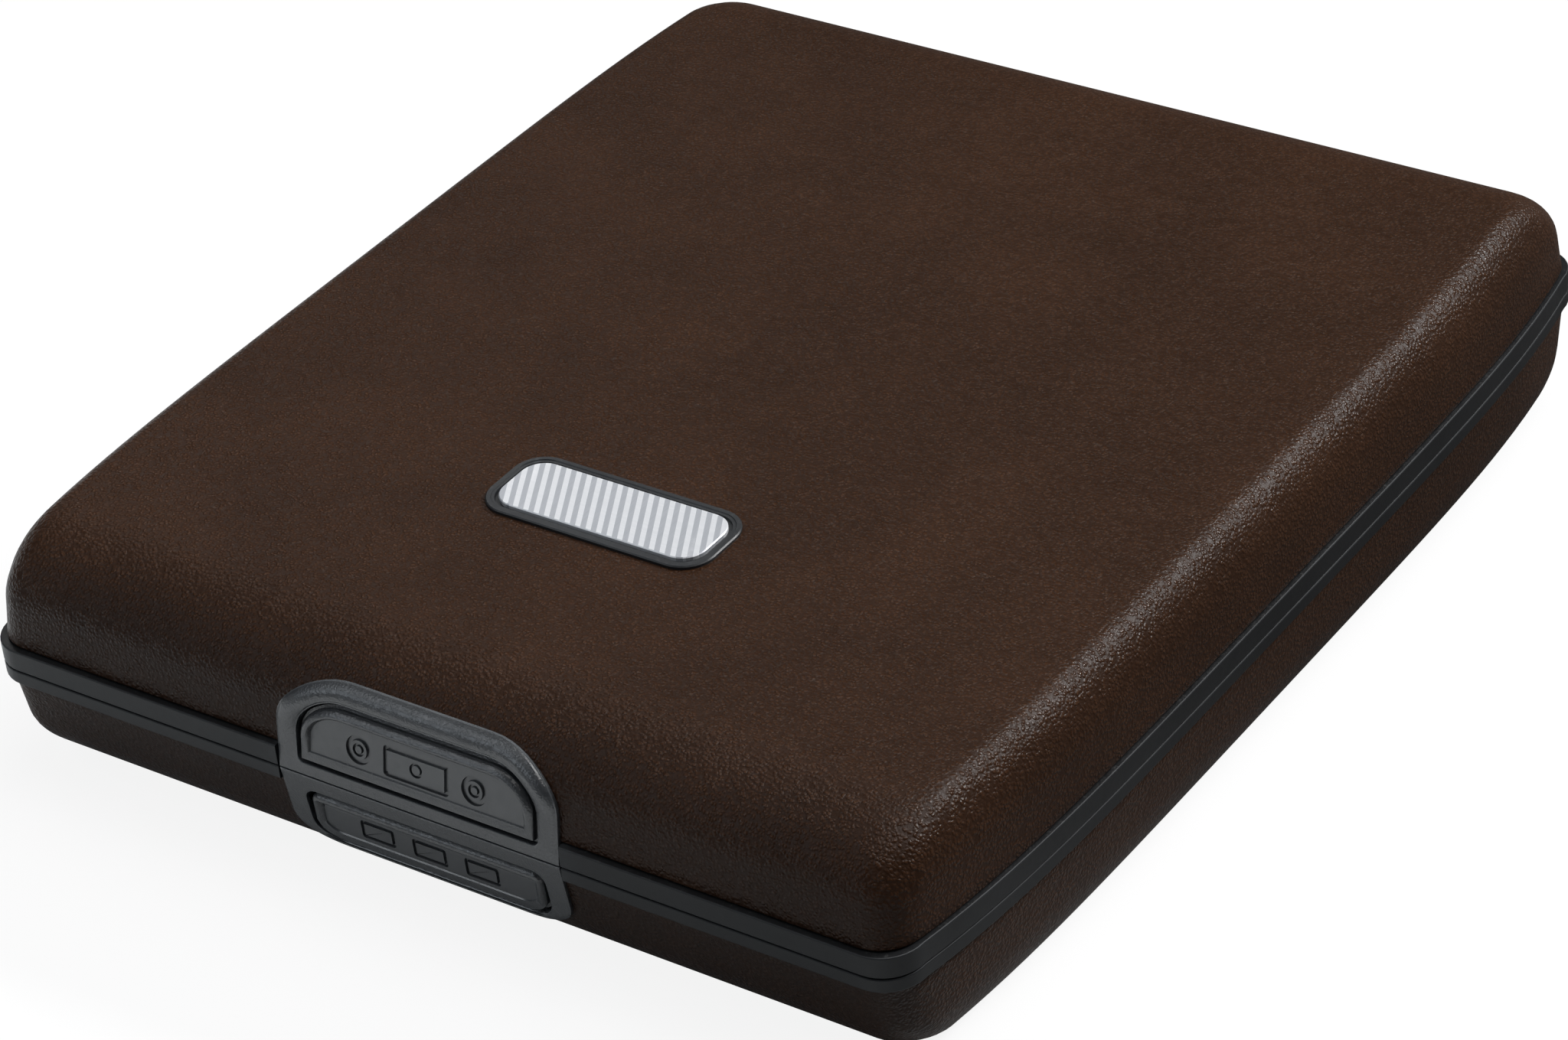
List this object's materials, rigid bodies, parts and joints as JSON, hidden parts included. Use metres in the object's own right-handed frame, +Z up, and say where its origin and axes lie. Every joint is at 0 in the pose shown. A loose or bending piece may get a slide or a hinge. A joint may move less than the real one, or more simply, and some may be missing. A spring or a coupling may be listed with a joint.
{
  "type": "pop up card holder",
  "caption": "Flat leather covered hard case, opened by two front buttons: folding card pockets under a middle plate, a coin tray and a banknote clip above it.",
  "frame": {"origin": "middle of the flat underside that the case lies on, below the centre of its bounding box", "axes": "+Z up through the money side, -Y towards the press buttons, +Y towards the hinge, +X to the right seen from the buttons"},
  "size_m": [0.094, 0.1122, 0.0225],
  "materials": {
    "brown_leather": "fine pebbled grain, semi-matt",
    "black_plastic": "satin with a fine grain",
    "shell_aluminium": "fine brushed",
    "tray_plastic": "fine spark-eroded grain",
    "pocket_board": "smooth leatherboard",
    "dark_lining": "short microfibre",
    "steel": "fine brushed",
    "badge_dark": "satin",
    "badge_silver": "satin chrome, finely ribbed"
  },
  "bodies": {
    "bottom_cover": {"lower_leather": "brown_leather", "lower_shell": "shell_aluminium", "lower_band": "black_plastic", "lower_shield": "black_plastic", "fan_block_left": "black_plastic", "fan_block_right": "black_plastic", "fan_pin": "steel"},
    "partition": {"middle_plate": "tray_plastic", "hinge_pin": "steel", "coin_tray": "tray_plastic", "tray_screw_1": "steel", "tray_screw_2": "steel", "tray_screw_3": "steel", "tray_screw_4": "steel", "clip_ear_left": "tray_plastic", "clip_ear_right": "tray_plastic", "clip_pin": "steel"},
    "top_cover": {"upper_leather": "brown_leather", "upper_shell": "shell_aluminium", "upper_band": "black_plastic", "upper_shield": "black_plastic", "money_lining": "dark_lining", "badge_base": "badge_dark", "badge_inlay": "badge_silver"},
    "money_press": {"money_button": "black_plastic"},
    "cards_press": {"cards_button": "black_plastic"},
    "clip": {"note_clip": "steel"},
    "leaf_1": {"card_pocket_1": "pocket_board", "pocket_lid_1": "pocket_board"},
    "leaf_2": {"card_pocket_2": "pocket_board", "pocket_lid_2": "pocket_board"},
    "leaf_3": {"card_pocket_3": "pocket_board", "pocket_lid_3": "pocket_board"},
    "leaf_4": {"card_pocket_4": "pocket_board", "pocket_lid_4": "pocket_board"}
  },
  "joints": [
    {"name": "cards_opening", "type": "hinge", "parent": "bottom_cover", "child": "partition", "pos_m": [0, 0.0542, 0.0109], "axis": [-1, 0, 0], "range_deg": [0, 45]},
    {"name": "money_opening", "type": "hinge", "parent": "partition", "child": "top_cover", "pos_m": [0, 0.0542, 0.0109], "axis": [-1, 0, 0], "range_deg": [0, 60]},
    {"name": "money_button_press", "type": "hinge", "parent": "top_cover", "child": "money_press", "pos_m": [0, -0.0555, 0.0123], "axis": [-1, 0, 0], "range_deg": [0, 6], "stiffness_Nm_per_rad": 0.05, "springref_deg": -1.15},
    {"name": "cards_button_press", "type": "hinge", "parent": "bottom_cover", "child": "cards_press", "pos_m": [0, -0.0555, 0.0045], "axis": [-1, 0, 0], "range_deg": [0, 6], "stiffness_Nm_per_rad": 0.05, "springref_deg": -1.15},
    {"name": "note_clip_lift", "type": "hinge", "parent": "partition", "child": "clip", "pos_m": [0.018, 0.02305, 0.0137], "axis": [-1, 0, 0], "range_deg": [0, 4.5], "stiffness_Nm_per_rad": 0.2, "springref_deg": -5.73},
    {"name": "leaf_1_fan", "type": "hinge", "parent": "bottom_cover", "child": "leaf_1", "pos_m": [0, 0.0452, 0.00607], "axis": [-1, 0, 0], "range_deg": [0, 9]},
    {"name": "leaf_2_fan", "type": "hinge", "parent": "leaf_1", "child": "leaf_2", "pos_m": [0, 0.0452, 0.00607], "axis": [-1, 0, 0], "range_deg": [0, 9]},
    {"name": "leaf_3_fan", "type": "hinge", "parent": "leaf_2", "child": "leaf_3", "pos_m": [0, 0.0452, 0.00607], "axis": [-1, 0, 0], "range_deg": [0, 9]},
    {"name": "leaf_4_fan", "type": "hinge", "parent": "leaf_3", "child": "leaf_4", "pos_m": [0, 0.0452, 0.00607], "axis": [-1, 0, 0], "range_deg": [0, 9]}
  ],
  "couplings": [
    {"joint": "leaf_1_fan", "follows": "cards_opening", "ratio": 0.2},
    {"joint": "leaf_2_fan", "follows": "cards_opening", "ratio": 0.2},
    {"joint": "leaf_3_fan", "follows": "cards_opening", "ratio": 0.2},
    {"joint": "leaf_4_fan", "follows": "cards_opening", "ratio": 0.2}
  ]
}
